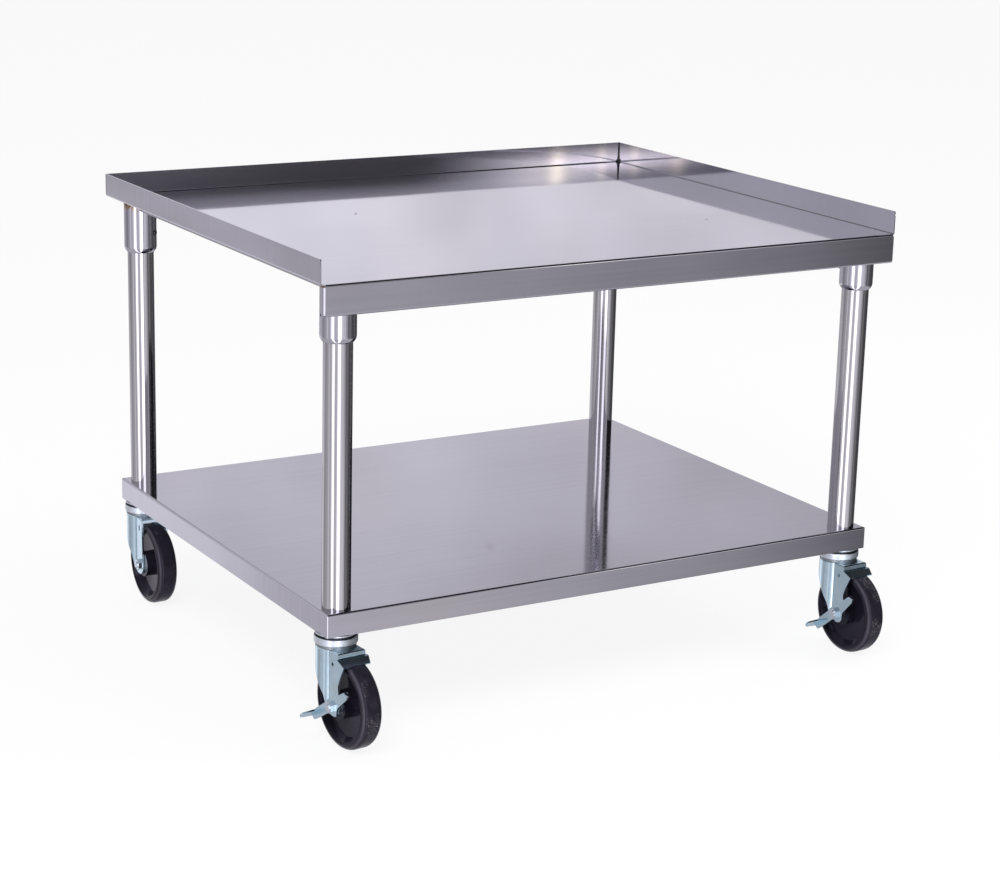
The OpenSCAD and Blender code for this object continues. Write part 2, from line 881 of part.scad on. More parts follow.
module axle_nut(i, braked) {
    start = braked ? brake_nut_x : fork_half;
    height = braked ? brake_nut_h : nut_h;
    color(ZINC)
        at_axle(i)
            difference() {
                hex_x(-start - height, -start, hex_w);
                bar_x(-start - height - past, -start + past, bolt_d / 2 + bolt_fit);
            }
}

module axle_sleeve(i) {
    half = fork_half_in - bolt_fit;
    color(TUBE)
        at_axle(i)
            difference() {
                bar_x(-half, half, sleeve_d / 2);
                bar_x(-half - past, half + past, bolt_d / 2 + bolt_fit);
            }
}

// Wheels, drawn as [radius, distance from the middle plane]

module wheel(i) {
    half = wheel_w / 2;
    rim_r = wheel_r - tyre_depth;
    color(BLACK)
        at_axle(i)
            rotate([0, 90, 0])
                rotate_extrude($fn = 128)
                    difference() {
                        union() {
                            translate([0, -half + tread_r])
                                square([wheel_r, wheel_w - 2 * tread_r]);
                            translate([0, -half])
                                square([wheel_r - tread_r, wheel_w]);
                            for (s = [-1, 1])
                                translate([wheel_r - tread_r, s * (half - tread_r)])
                                    circle(tread_r);
                            translate([0, -hub_half])
                                square([hub_d / 2, 2 * hub_half]);
                        }
                        for (s = [0, 1])
                            mirror([0, s])
                                polygon([
                                    [hub_d / 2, web_half],
                                    [rim_r - rim_edge - rim_slope, web_half + past],
                                    [rim_r - rim_edge, half - rim_step],
                                    [rim_r, half - rim_step],
                                    [rim_r + past / 2, half + past],
                                    [hub_d / 2, half + past]
                                ]);
                        translate([0, -hub_half - past])
                            square([bearing_d / 2 + bearing_fit, 2 * hub_half + 2 * past]);
                    }
}

module wheel_bearing(i) {
    color(DARK)
        at_axle(i)
            difference() {
                bar_x(-hub_half, hub_half, bearing_d / 2);
                bar_x(-hub_half - past, hub_half + past, sleeve_d / 2 + running_fit);
            }
}

// Brakes: the lever lies on the fork's left side, and its plane is drawn as [u, v], with the pedal along u

function lever_outline() = [
    [-cam_len, cam_h, 1.5],
    [cam_back, cam_back_h, 3],
    [pedal_len - toe_back - 3.6, toe_rise + 1, 6],
    [pedal_len - toe_back, toe_rise, 1],
    [pedal_len, 0, 2],
    [pedal_len - 2, -8, 3],
    [pedal_len - 19, -8, 8],
    [11, -6.5, 6],
    [-7, -16, 4],
    [-15, -6, 6],
    [-cam_len - 2.5, 0.4, 1.5],
    [-cam_len - 6.5, 5, 1.5]
];

module brake_lever(i) {
    slope = atan2(-toe_rise, toe_back);
    color(ZINC)
        at_axle(i)
            rotate([-PEDAL[i], 0, 0])
                difference() {
                    union() {
                        along_x(-lever_face_x, -lever_plate_x)
                            polygon(rounded(lever_outline()));
                        bar_x(-lever_plate_x - past, -lever_x, lever_spacer_r);
                        along_x(-lever_plate_x - past, -lever_x - side_gap)
                            polygon([
                                [-cam_len, cam_h],
                                [cam_back, cam_back_h],
                                [cam_back, cam_back_h - cam_t],
                                [-cam_len, cam_h - cam_t]
                            ]);
                        translate([0, pedal_len - toe_back, toe_rise])
                            rotate([slope, 0, 0])
                                translate([0, 0, -lever_t])
                                    linear_extrude(lever_t)
                                        polygon(rounded(toe_points()));
                    }
                    bar_x(-lever_face_x - past, -lever_x + past, bolt_d / 2 + running_fit);
                }
}

// The foot plate seen from above, as [x, distance along the pedal's end]
function toe_points() =
    let (inner = -lever_plate_x - past, outer = -lever_face_x - toe_len)
    [
        [inner, 0, 0],
        [outer, toe_taper, 3],
        [outer, toe_w - toe_taper, 3],
        [inner, toe_w, 0]
    ];

// Brake shoe: a plate over the tread, with a cheek outside each fork leg

function shoe_low() = [-trail - shoe_reach, tread_z(shoe_reach) + shoe_gap];

function shoe_plate() =
    let (low = shoe_low())
    [
        [shoe_back, shoe_top],
        [shoe_back - shoe_flat, shoe_top - shoe_fall],
        [low.x - 1, low.y + shoe_t - 0.2],
        low,
        [shoe_back - shoe_flat, shoe_top - shoe_fall - shoe_t],
        [shoe_back, shoe_top - shoe_t]
    ];

function cheek_points(tilt, footed) =
    let (low = shoe_low(), pivot = shoe_pivot, foot_y = -trail - 11, foot_back = -trail - 4)
    concat(
        [
            [pivot.x + 7, pivot.y + 3, 3],
            [pivot.x - 8, pivot.y + 8, 2],
            [shoe_back, shoe_top, 0],
            [shoe_back - shoe_flat, shoe_top - shoe_fall, 0],
            [low.x - 1, low.y + shoe_t - 0.2, 0],
            [low.x, low.y, 0]
        ],
        footed ? [
            [-trail - 14.4, axle_z + 43, 8],
            [-trail - 9.5, axle_z + 31, 5],
            [foot_y, cam_z(tilt, foot_y) + shoe_gap, 1],
            [foot_back, cam_z(tilt, foot_back) + shoe_gap, 1],
            [-trail + 5, axle_z + 25, 3],
            [pivot.x + 7, axle_z + 32, 4]
        ] : [
            [pivot.x + 7, pivot.y - 7, 5]
        ]
    );

module brake_shoe(i) {
    color(ZINC)
        at_swivel(i)
            difference() {
                union() {
                    along_x(-cheek_x - shoe_t, cheek_x + shoe_t)
                        polygon(shoe_plate());
                    for (s = [-1, 1]) {
                        between_x(s * cheek_x, s * (cheek_x + shoe_t))
                            polygon(rounded(cheek_points(PEDAL[i], s < 0)));
                        between_x(s * (fork_half_in + side_gap), s * (cheek_x + shoe_t))
                            translate(shoe_pivot)
                                circle(d = peg_d);
                    }
                }
                for (s = [-1, 1])
                    between_x(s * (cheek_x + shoe_t - dimple_depth), s * (cheek_x + shoe_t + past))
                        translate(shoe_pivot)
                            circle(d = dimple_d);
                translate([0, 0, axle_z])
                    linear_extrude(wheel_d)
                        polygon(shoe_trim());
            }
}

// What is cut from a shoe's right end, seen from above
function shoe_trim() =
    let (side = cheek_x + shoe_t, low = shoe_low().x - past)
    [
        [side, shoe_back - shoe_flat],
        [side - shoe_taper, low],
        [side - shoe_taper, low - past],
        [side + past, low - past],
        [side + past, shoe_back - shoe_flat]
    ];

top_deck();
mid_channel();
side_channel(-1);  // left_channel
side_channel(1);  // right_channel
under_shelf();
shelf_channel();
set_screws();
stem_plugs();
swivel_balls();
for (i = ALL) {
    socket(i);
    leg(i);
    stem(i);
    top_race(i);
    swivel_ring(i);
    fork(i);
    axle_bolt(i, i < len(FRONT));
    axle_nut(i, i < len(FRONT));
    axle_sleeve(i);
    wheel(i);
    wheel_bearing(i);
}
for (i = FRONT) {
    brake_lever(i);
    brake_shoe(i);
}
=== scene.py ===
"""Finishes, welds, studio and camera for the stainless equipment stand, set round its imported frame."""
import json
import math

import bmesh
import bpy
from bpy.props import FloatProperty, FloatVectorProperty, PointerProperty
from mathutils import Matrix, Vector


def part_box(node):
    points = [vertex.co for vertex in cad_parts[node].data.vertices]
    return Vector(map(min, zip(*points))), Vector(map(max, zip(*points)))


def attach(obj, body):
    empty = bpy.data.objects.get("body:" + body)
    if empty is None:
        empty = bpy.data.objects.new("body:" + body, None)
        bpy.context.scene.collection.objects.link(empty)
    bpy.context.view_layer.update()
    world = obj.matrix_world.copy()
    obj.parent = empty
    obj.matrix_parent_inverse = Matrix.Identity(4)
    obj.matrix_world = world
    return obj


bl_info = {
    "name": "Equipment stand finishes",
    "version": (1, 0, 0),
    "blender": (4, 5, 0),
    "location": "3D View > Sidebar > Stand",
    "description": "Steel, zinc and wheel finishes, weld beads, studio and camera for an equipment stand",
    "category": "Object",
}

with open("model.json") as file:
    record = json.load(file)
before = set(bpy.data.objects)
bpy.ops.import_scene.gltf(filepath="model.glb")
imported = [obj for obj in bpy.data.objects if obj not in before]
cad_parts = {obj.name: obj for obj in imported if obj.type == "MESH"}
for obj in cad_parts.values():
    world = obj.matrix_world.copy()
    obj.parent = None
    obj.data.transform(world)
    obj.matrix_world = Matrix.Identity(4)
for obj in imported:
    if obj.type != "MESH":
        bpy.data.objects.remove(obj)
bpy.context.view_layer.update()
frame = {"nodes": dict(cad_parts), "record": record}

CORNERS = ("fl", "fr", "rl", "rr")
BRAKED = ("fl", "fr")

# The deck's sheet, its surface, and the inner faces of its raised edges
DECK_SHEET = 0.0015
DECK_TOP = next(m["pos_m"][2] for m in frame["record"]["mounts"] if m["name"] == "deck_surface")
DECK_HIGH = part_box("top_deck")[1]
EDGE_HEIGHT = DECK_HIGH.z - DECK_TOP
INNER_X = DECK_HIGH.x - DECK_SHEET
INNER_Y = DECK_HIGH.y - DECK_SHEET
# What lies further back than this is the back edge
BACK_FACE = INNER_Y - 0.001

# Width and strength of the painted shade along the deck's folds
CREASE_SHADE_WIDTH = 0.0013
CREASE_SHADE_STRENGTH = 0.85
# Small marks on the sheets, as (x, y, radius, strength), drawn out along one direction
DECK_MARKS = ((-0.1893, 0.112, 0.0014, 3.0), (0.2768, -0.1335, 0.0014, 1.2))
SHELF_MARKS = ((-0.1089, -0.1705, 0.006, 0.12),)
MARK_STRETCH = 3.3
MARK_ALONG = (0.51, 0.86)
# Painted highlights on the inner face of the back edge, standing for lamp reflections, as (x, z, radius,
# strength), drawn out upwards
BACK_PAINTED_HIGHLIGHTS = ((0.344, 0.660, 0.017, 0.85), (0.4342, 0.660, 0.011, 0.45))
HIGHLIGHT_STRETCH = 1.6
# Roughness of the share of light that fine scratches scatter
HAZE_ROUGHNESS = 0.3

# Noise scales in cycles per metre: (across, along) the polishing lines, and along X, Y and Z elsewhere
LINE_SCALE = (190, 1.6)
HAIR_SCALE = (1400, 9)
SLOW_SCALE = (3.2, 3.2, 3.2)
CLOUD_SCALE = (7, 11, 11)
RAGGED_SCALE = (160, 160, 160)
LEG_LINES = (420, 420, 6)
LONG_CHANNEL_LINES = (6, 300, 300)
SIDE_CHANNEL_LINES = (300, 6, 300)
TUBE_CLOUD_SCALE = (9, 9, 5)
# Depth of the finest lines
HAIR_DEPTH = 0.000004
TUBE_LINE_DEPTH = 0.000003

# Share of the steel's tint in the dull and in the bright streaks of drawn tube
TUBE_DULL = (0.92, 0.92, 0.87)
TUBE_BRIGHT = (1.06, 1.06, 1.0)

# Tones of wear, heat and dirt, of painted shade and a painted highlight, and tints of reflections
STRAW = (0.70, 0.42, 0.17, 1)
SCORCHED = (0.14, 0.07, 0.05, 1)
BEAD_GREY = (0.50, 0.47, 0.46, 1)
BEAD_BROWN = (0.36, 0.27, 0.22, 1)
YELLOWED = (0.62, 0.64, 0.50, 1)
# Painted shade in the casters' gaps, necks and dimples
RECESS_SHADE = (0.03, 0.035, 0.045, 1)
SCUFF = (0.34, 0.33, 0.35, 1)
# Painted highlight along the wheels' rims
RIM_PAINTED_HIGHLIGHT = (0.13, 0.12, 0.15, 1)
WHEEL_SHEEN = (0.8, 0.74, 1.0, 1)
ZINC_SHEEN = (0.9, 0.9, 0.9, 1)

# Side view of the pegs on which the brake shoes rock, as (y, z), and the radius of the painted shade in
# their dimples
PEG = (-0.3405, 0.122)
PEG_DIMPLE = 0.0023
# Height of the open gap above a swivel ring, and of the neck below its band, where shade is painted
RACE_GAP = 0.0029
RING_NECK = 0.0036

# Weld beads: swell of a ripple, points on each ripple, sides of the bead, and depth at the shelf
BEAD_SWELL = 0.13
RIPPLE_POINTS = 4
BEAD_SIDES = 8
LEG_WELD_SINK = 0.0016
# Flare at the foot of the dark strips of painted shade in the back corners
SHADE_STRIP_FOOT = 0.007

# Lamps, as (place, size, power), and the point that they light
KEY_LAMP = ((-2.4, -2.6, 3.6), 2.4, 110)
FILL_LAMP = ((2.8, -1.2, 3.0), 2.6, 45)
LIT_POINT = (0, 0, 0.3)
FLOOR_REACH = 15.0
# How white the floor looks from above, and the share of that in what the camera sees
FLOOR_GLOW = 1.02
GLOW_SHARE = 0.86

# The photograph's camera: place, direction of view, and tilt to the side
CAMERA_PLACE = (-1.819906, -3.076809, 1.269641)
CAMERA_AHEAD = (0.4923159, 0.83029384, -0.2612225)
CAMERA_ROLL = 0.02526213
SENSOR_WIDTH = 36.0


# Shader maths

class Value:
    """A shader socket on which plain sums and products add Math nodes."""

    def __init__(self, finish, socket):
        self.finish = finish
        self.socket = socket

    def math(self, operation, *inputs):
        return self.finish.add("ShaderNodeMath", {"operation": operation}, dict(enumerate(inputs)))

    def __add__(self, other):
        return self.math("ADD", self, other)

    def __sub__(self, other):
        return self.math("SUBTRACT", self, other)

    def __rsub__(self, other):
        return self.math("SUBTRACT", other, self)

    def __mul__(self, other):
        return self.math("MULTIPLY", self, other)

    def __truediv__(self, other):
        return self.math("DIVIDE", self, other)

    def __gt__(self, other):
        return self.math("GREATER_THAN", self, other)

    def __lt__(self, other):
        return self.math("LESS_THAN", self, other)

    def __abs__(self):
        return self.math("ABSOLUTE", self)

    def __neg__(self):
        return self * -1

    __radd__ = __add__
    __rmul__ = __mul__

    def larger(self, other):
        return self.math("MAXIMUM", self, other)

    def bell(self, centre, width):
        """1 at the centre, and falls off smoothly on both sides."""
        off = (self - centre) / width
        return self.math("EXPONENT", -(off * off))

    def step(self, low, high):
        """Rises smoothly from 0 at low to 1 at high; falls where low is the larger."""
        return self.finish.add(
            "ShaderNodeMapRange",
            {"interpolation_type": "SMOOTHSTEP"},
            {"Value": self, "From Min": low, "From Max": high, "To Min": 0, "To Max": 1},
        )

    def band(self, start, full, fading, end):
        """0 up to start, 1 from full to fading, and 0 again from end on."""
        return self.step(start, full) * self.step(end, fading)


class Finish:
    """The node tree of one material or world."""

    def __init__(self, owner):
        owner.use_nodes = True
        self.tree = owner.node_tree
        self.tree.nodes.clear()

    def add(self, kind, settings=None, inputs=None, output=0):
        node = self.tree.nodes.new(kind)
        for name, value in (settings or {}).items():
            setattr(node, name, value)
        for name, value in (inputs or {}).items():
            if isinstance(value, Value):
                self.tree.links.new(value.socket, node.inputs[name])
            else:
                node.inputs[name].default_value = value
        return Value(self, node.outputs[output]) if len(node.outputs) else None

    def outputs(self, value, *names):
        """Other outputs of the node that a value comes from."""
        return [Value(self, value.socket.node.outputs[name]) for name in names]

    def coords(self):
        return self.add("ShaderNodeTexCoord", output="Object")

    def split(self, vector):
        return self.outputs(self.add("ShaderNodeSeparateXYZ", {}, {0: vector}), "X", "Y", "Z")

    def noise(self, at, scale, detail=2.0, rough=0.5):
        """Noise at those places; scale holds the cycles per metre along X, Y and Z."""
        vector = self.add("ShaderNodeVectorMath", {"operation": "MULTIPLY"}, {0: at, 1: scale})
        inputs = {"Vector": vector, "Scale": 1.0, "Detail": detail, "Roughness": rough}
        return self.add("ShaderNodeTexNoise", {}, inputs)

    def tint(self, factor, first, second):
        """The first colour, turned into the second by the factor."""
        return self.add("ShaderNodeMix", {"data_type": "RGBA"}, {0: factor, 6: first, 7: second}, output=2)

    def bump(self, height, distance, under=None):
        inputs = {"Strength": 1.0, "Distance": distance, "Height": height}
        if under is not None:
            inputs["Normal"] = under
        return self.add("ShaderNodeBump", {}, inputs)

    def principled(self, haze=0.0, **inputs):
        """Haze is the share of the light that a finely scratched surface scatters widely."""
        named = {name.replace("_", " "): value for name, value in inputs.items()}
        shader = self.add("ShaderNodeBsdfPrincipled", {}, named)
        if haze:
            scattered = self.add("ShaderNodeBsdfPrincipled", {}, {**named, "Roughness": HAZE_ROUGHNESS})
            shader = self.add("ShaderNodeMixShader", {}, {0: haze, 1: shader, 2: scattered})
        self.add("ShaderNodeOutputMaterial", {}, {"Surface": shader})


def new_finish(name):
    material = bpy.data.materials.new(name)
    return material, Finish(material)


def dress(material, *nodes):
    """Gives CAD nodes a finish."""
    for name in nodes:
        for slot in frame["nodes"][name].material_slots:
            slot.material = material


def each_corner(*pieces, corners=CORNERS):
    """Names of those pieces at each corner."""
    return [f"{corner}_{piece}" for corner in corners for piece in pieces]


def solid(colour):
    return (*colour, 1.0)


def shade(colour, level):
    """A darker or lighter colour, as RGBA."""
    return solid([min(1, channel * level) for channel in colour])


# What a user would change

class SteelLook(bpy.types.PropertyGroup):
    tint: FloatVectorProperty(
        name="Tint",
        description="Colour of the stainless sheet",
        subtype="COLOR",
        default=(0.56, 0.553, 0.605),
    )
    edge_tint: FloatVectorProperty(
        name="Edge tint",
        description="Colour of reflections at low angles",
        subtype="COLOR",
        default=(0.80, 0.795, 0.81),
    )
    gloss: FloatProperty(
        name="Roughness",
        description="Roughness of the shelf and the sockets",
        default=0.07,
        min=0,
        max=1,
    )
    deck_gloss: FloatProperty(
        name="Deck roughness",
        description="Roughness of the deck",
        default=0.05,
        min=0,
        max=1,
    )
    # Also the colour of the painted shade along the deck's folds
    mark: FloatVectorProperty(
        name="Marks",
        description="Colour of small marks on the sheets",
        subtype="COLOR",
        default=(0.02, 0.018, 0.02),
    )
    grain: FloatProperty(
        name="Grain",
        description="Strength of the polishing lines",
        default=1.0,
        min=0,
        max=3,
    )
    wave: FloatProperty(
        name="Waviness",
        description="Height of the slow waves in a panel",
        default=0.0006,
        unit="LENGTH",
    )
    haze: FloatProperty(
        name="Haze",
        description="Share of light that the deck's fine scratches scatter",
        default=0.05,
        min=0,
        max=1,
    )
    lean: FloatProperty(
        name="Lean",
        description="Angle by which the top of the back edge bends away",
        default=0.048,
        subtype="ANGLE",
    )
    # Colour of the painted highlights that stand for lamp reflections on the back edge
    blemish_and_highlight: FloatVectorProperty(
        name="Bright spots",
        description="Colour of the polished spots on the back edge",
        subtype="COLOR",
        default=(1.0, 0.95, 0.86),
    )
    heat_height: FloatProperty(
        name="Heat tint",
        description="Height of the coloured band below a weld",
        default=0.02,
        unit="LENGTH",
    )


class CasterLook(bpy.types.PropertyGroup):
    zinc: FloatVectorProperty(
        name="Zinc",
        description="Colour of the zinc plating",
        subtype="COLOR",
        default=(0.62, 0.79, 0.88),
    )
    ring: FloatVectorProperty(
        name="Ring",
        description="Colour of the swivel rings",
        subtype="COLOR",
        default=(0.74, 0.80, 0.86),
    )
    zinc_gloss: FloatProperty(
        name="Zinc roughness",
        description="Roughness of the zinc plating",
        default=0.15,
        min=0,
        max=1,
    )
    wheel: FloatVectorProperty(
        name="Wheel",
        description="Colour of the wheels",
        subtype="COLOR",
        default=(0.014, 0.012, 0.020),
    )
    wheel_gloss: FloatProperty(
        name="Wheel roughness",
        description="Roughness of the wheels",
        default=0.11,
        min=0,
        max=1,
    )


class WeldLook(bpy.types.PropertyGroup):
    bead: FloatProperty(
        name="Bead",
        description="Radius of the beads round the sockets",
        default=0.0014,
        unit="LENGTH",
    )
    # Width of the dark strips of painted shade in the deck's back corners
    seam: FloatProperty(
        name="Seam",
        description="Width of the sealed seams at the deck's back corners",
        default=0.0022,
        unit="LENGTH",
    )
    ripple: FloatProperty(
        name="Ripple",
        description="Distance from ripple to ripple along a bead",
        default=0.0022,
        unit="LENGTH",
    )


class StudioLook(bpy.types.PropertyGroup):
    floor: FloatProperty(
        name="Floor",
        description="Lightness of the floor",
        default=0.92,
        min=0,
        max=1,
    )
    lamp: FloatProperty(
        name="Lamp",
        description="Level of the lamps, where 1 shows colours as written",
        default=1.0,
        min=0,
    )
    ambient: FloatProperty(
        name="Ambient",
        description="Level of the even light from all round",
        default=0.55,
        min=0,
    )
    cool: FloatVectorProperty(
        name="Cool light",
        description="Colour that the room gives to most reflections",
        subtype="COLOR",
        default=(0.95, 0.93, 1.0),
    )
    warm: FloatVectorProperty(
        name="Warm light",
        description="Colour of the lamps in reflections",
        subtype="COLOR",
        default=(1.0, 0.95, 0.90),
    )
    lens: FloatProperty(
        name="Lens",
        description="Focal length",
        default=87.095,
        unit="CAMERA",
    )


# Steel

def along_lines(finish, scale):
    """Scales that stretch a noise along X on most faces, and upright on the faces that look along X."""
    fine, slow = scale
    normal = finish.add("ShaderNodeNewGeometry", output="True Normal")
    across = abs(finish.split(normal)[0]) > 0.7
    stretched = {0: across, 4: (slow, fine, fine), 5: (fine, fine, slow)}
    return finish.add("ShaderNodeMix", {"data_type": "VECTOR"}, stretched, output=1)


def heated(f, at, colour, look, weld_height):
    """Turns a colour to straw and brown just below a weld, with a ragged lower edge."""
    height = f.split(at)[2]
    ragged = f.noise(at, RAGGED_SCALE, detail=3.0)
    raised = height + (ragged - 0.5) * look.heat_height * 1.5
    near = raised.step(weld_height - look.heat_height, weld_height)
    return f.tint(near.step(0, 0.6) * 0.95, colour, f.tint(near, STRAW, SCORCHED))


def marked(f, at, colour, look, marks):
    """Adds small dark blemishes to a colour."""
    x, y, _ = f.split(at)
    for mark_x, mark_y, radius, strength in marks:
        east, north = x - mark_x, y - mark_y
        along = east * MARK_ALONG[0] + north * MARK_ALONG[1]
        across = east * MARK_ALONG[1] - north * MARK_ALONG[0]
        blemish_and_highlight = across.bell(0, radius) * along.bell(0, radius * MARK_STRETCH) * strength
        colour = f.tint(blemish_and_highlight, colour, solid(look.mark))
    return colour


def painted_edge_highlight_and_shade(f, at, colour, look):
    """Adds painted highlights for lamp reflections on the back edge, and painted shade along the deck's
    folds, to a colour.
    """
    x, y, z = f.split(at)
    on_back = y > BACK_FACE
    # Painted highlights standing for lamp reflections on the back edge
    for highlight_x, highlight_z, radius, strength in BACK_PAINTED_HIGHLIGHTS:
        blemish_and_highlight = x.bell(highlight_x, radius) * z.bell(highlight_z, radius * HIGHLIGHT_STRETCH) * on_back * strength
        colour = f.tint(blemish_and_highlight, colour, solid(look.blemish_and_highlight))
    # Painted shade along the folds at the foot of the raised edges
    height = z - DECK_TOP
    beside = abs(x).step(INNER_X - CREASE_SHADE_WIDTH, INNER_X) * (abs(x) < INNER_X + CREASE_SHADE_WIDTH / 2)
    behind = y.step(INNER_Y - CREASE_SHADE_WIDTH, INNER_Y) * (y < INNER_Y + CREASE_SHADE_WIDTH / 2)
    crease_shade = beside.larger(behind) * height.step(CREASE_SHADE_WIDTH, 0) * (height > -CREASE_SHADE_WIDTH / 4)
    return f.tint(crease_shade * CREASE_SHADE_STRENGTH, colour, solid(look.mark))


def leaning(f, at, normal, look):
    """Bends the normals of the back edge as if its top leaned back."""
    _, y, z = f.split(at)
    height = (z - DECK_TOP).larger(0)
    bend = height * height * (y > BACK_FACE) * (look.lean / (-2 * EDGE_HEIGHT))
    return f.bump(bend, 1.0, normal)


def sheet_finish(name, look, gloss, weld_height=None, marks=(), haze=0.0, edges=False):
    """Polished stainless sheet with long lines and slow waves.

    A sheet welded at a height has its heat tint below it. Marks are small blemishes.
    Edges adds the painted highlights and painted fold shade of the deck's raised edges, and the lean of
    its back edge.
    """
    material, f = new_finish(name)
    at = f.coords()
    lines = f.noise(at, along_lines(f, LINE_SCALE), detail=3.0, rough=0.6)
    hair = f.noise(at, along_lines(f, HAIR_SCALE), detail=1.0)
    slow = f.noise(at, SLOW_SCALE, detail=1.0)
    cloud = f.noise(at, CLOUD_SCALE, detail=3.0)
    grey = (lines - 0.5) * (0.34 * look.grain) + (cloud - 0.5) * 0.05
    colour = f.tint((grey + 0.5).step(0, 1), shade(look.tint, 0.86), shade(look.tint, 1.14))
    if weld_height is not None:
        colour = heated(f, at, colour, look, weld_height)
    colour = marked(f, at, colour, look, marks)
    normal = f.bump(slow, look.wave)
    normal = f.bump(hair, HAIR_DEPTH * look.grain, normal)
    if edges:
        # Painted highlights on the back edge and painted shade along the folds
        colour = painted_edge_highlight_and_shade(f, at, colour, look)
        normal = leaning(f, at, normal, look)
    f.principled(
        haze=haze,
        Base_Color=colour,
        Metallic=1.0,
        Roughness=gloss + (cloud - 0.5) * 0.04 + (lines - 0.5) * (0.06 * look.grain),
        Specular_Tint=solid(look.edge_tint),
        Normal=normal,
    )
    return material


def tube_finish(name, look, gloss, line_scale, tone=1.0):
    """Drawn tube and folded channels, with fine lines along their length."""
    material, f = new_finish(name)
    at = f.coords()
    lines = f.noise(at, line_scale, detail=2.0)
    cloud = f.noise(at, TUBE_CLOUD_SCALE, detail=3.0)
    light = ((lines - 0.5) * 0.25 + (cloud - 0.5) * 0.3 + 0.5).step(0, 1)
    dull, bright = [
        shade([channel * part for channel, part in zip(look.tint, parts)], tone)
        for parts in (TUBE_DULL, TUBE_BRIGHT)
    ]
    f.principled(
        Base_Color=f.tint(light, dull, bright),
        Metallic=1.0,
        Roughness=gloss + (cloud - 0.5) * 0.06 + (lines - 0.5) * 0.03,
        Specular_Tint=solid(look.edge_tint),
        Normal=f.bump(lines, TUBE_LINE_DEPTH),
    )
    return material


def weld_finish(name, look):
    """Rippled bead, grey to brown from the heat."""
    material, f = new_finish(name)
    spots = f.noise(f.coords(), (120, 120, 120), detail=3.0)
    f.principled(
        Base_Color=f.tint(spots.step(0.35, 0.7), BEAD_GREY, BEAD_BROWN),
        Metallic=1.0,
        Roughness=0.22 + (spots - 0.5) * 0.2,
        Specular_Tint=solid(look.edge_tint),
        Normal=f.bump(spots, 0.0001),
    )
    return material


class STAND_OT_sheets(bpy.types.Operator):
    """Finishes the deck, the shelf and the leg sockets."""

    bl_idname = "stand.sheets"
    bl_label = "Finish the sheets and sockets"

    def execute(self, context):
        look = context.scene.stand_steel
        deck = sheet_finish(
            "polished_deck", look, look.deck_gloss, marks=DECK_MARKS, haze=look.haze, edges=True
        )
        dress(deck, "top_deck")
        dress(sheet_finish("polished_shelf", look, look.gloss, marks=SHELF_MARKS), "under_shelf")
        weld_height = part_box("fl_socket")[1].z
        dress(sheet_finish("polished_socket", look, look.gloss, weld_height), *each_corner("socket"))
        return {"FINISHED"}


class STAND_OT_tubes(bpy.types.Operator):
    """Finishes the legs and the channels."""

    bl_idname = "stand.tubes"
    bl_label = "Finish the legs and channels"

    def execute(self, context):
        look = context.scene.stand_steel
        dress(tube_finish("drawn_tube", look, 0.085, LEG_LINES), *each_corner("leg"))
        long_channel = tube_finish("mill_channel_long", look, 0.26, LONG_CHANNEL_LINES, 0.92)
        dress(long_channel, "mid_channel", "shelf_channel")
        side_channel = tube_finish("mill_channel_side", look, 0.26, SIDE_CHANNEL_LINES, 0.92)
        dress(side_channel, "left_channel", "right_channel")
        return {"FINISHED"}


# Casters

def zinc_finish(name, look, tone, gloss=0.0, dark=None):
    """Bright zinc plate with a slight mottle and duller patches.

    dark(f, at) gives the share of painted shade.
    """
    material, f = new_finish(name)
    at = f.coords()
    mottle = f.noise(at, (85, 85, 85), detail=4.0, rough=0.6)
    patch = f.noise(at, (22, 22, 22), detail=2.0)
    light = ((mottle - 0.5) * 0.5 + (patch - 0.5) * 0.5 + 0.5).step(0, 1)
    colour = f.tint(light, shade(tone, 0.84), shade(tone, 1.12))
    colour = f.tint(patch.step(0.58, 0.75) * 0.3, colour, YELLOWED)
    # Painted shade where a dark share is given
    if dark is not None:
        colour = f.tint(dark(f, at), colour, RECESS_SHADE)
    f.principled(
        Base_Color=colour,
        Metallic=1.0,
        Roughness=look.zinc_gloss + gloss + (patch - 0.5) * 0.12 + (mottle - 0.5) * 0.06,
        Specular_Tint=ZINC_SHEEN,
        Normal=f.bump(mottle, 0.00002),
    )
    return material


def ring_painted_shade(f, at):
    """Painted shade: dark in the open gap above a swivel ring and on the neck below its band."""
    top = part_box("fl_swivel_ring")[1].z
    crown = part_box("fl_fork")[1].z
    z = f.split(at)[2]
    gap = z.step(top - 0.0005, top) * z.step(top + RACE_GAP + 0.0006, top + RACE_GAP)
    return gap * 0.95 + z.step(crown + RING_NECK + 0.0003, crown + RING_NECK) * 0.6


def peg_painted_shade(f, at):
    """Painted shade in the dimples of the brake shoes' pegs."""
    _, y, z = f.split(at)
    return y.bell(PEG[0], PEG_DIMPLE) * z.bell(PEG[1], PEG_DIMPLE) * 1.3


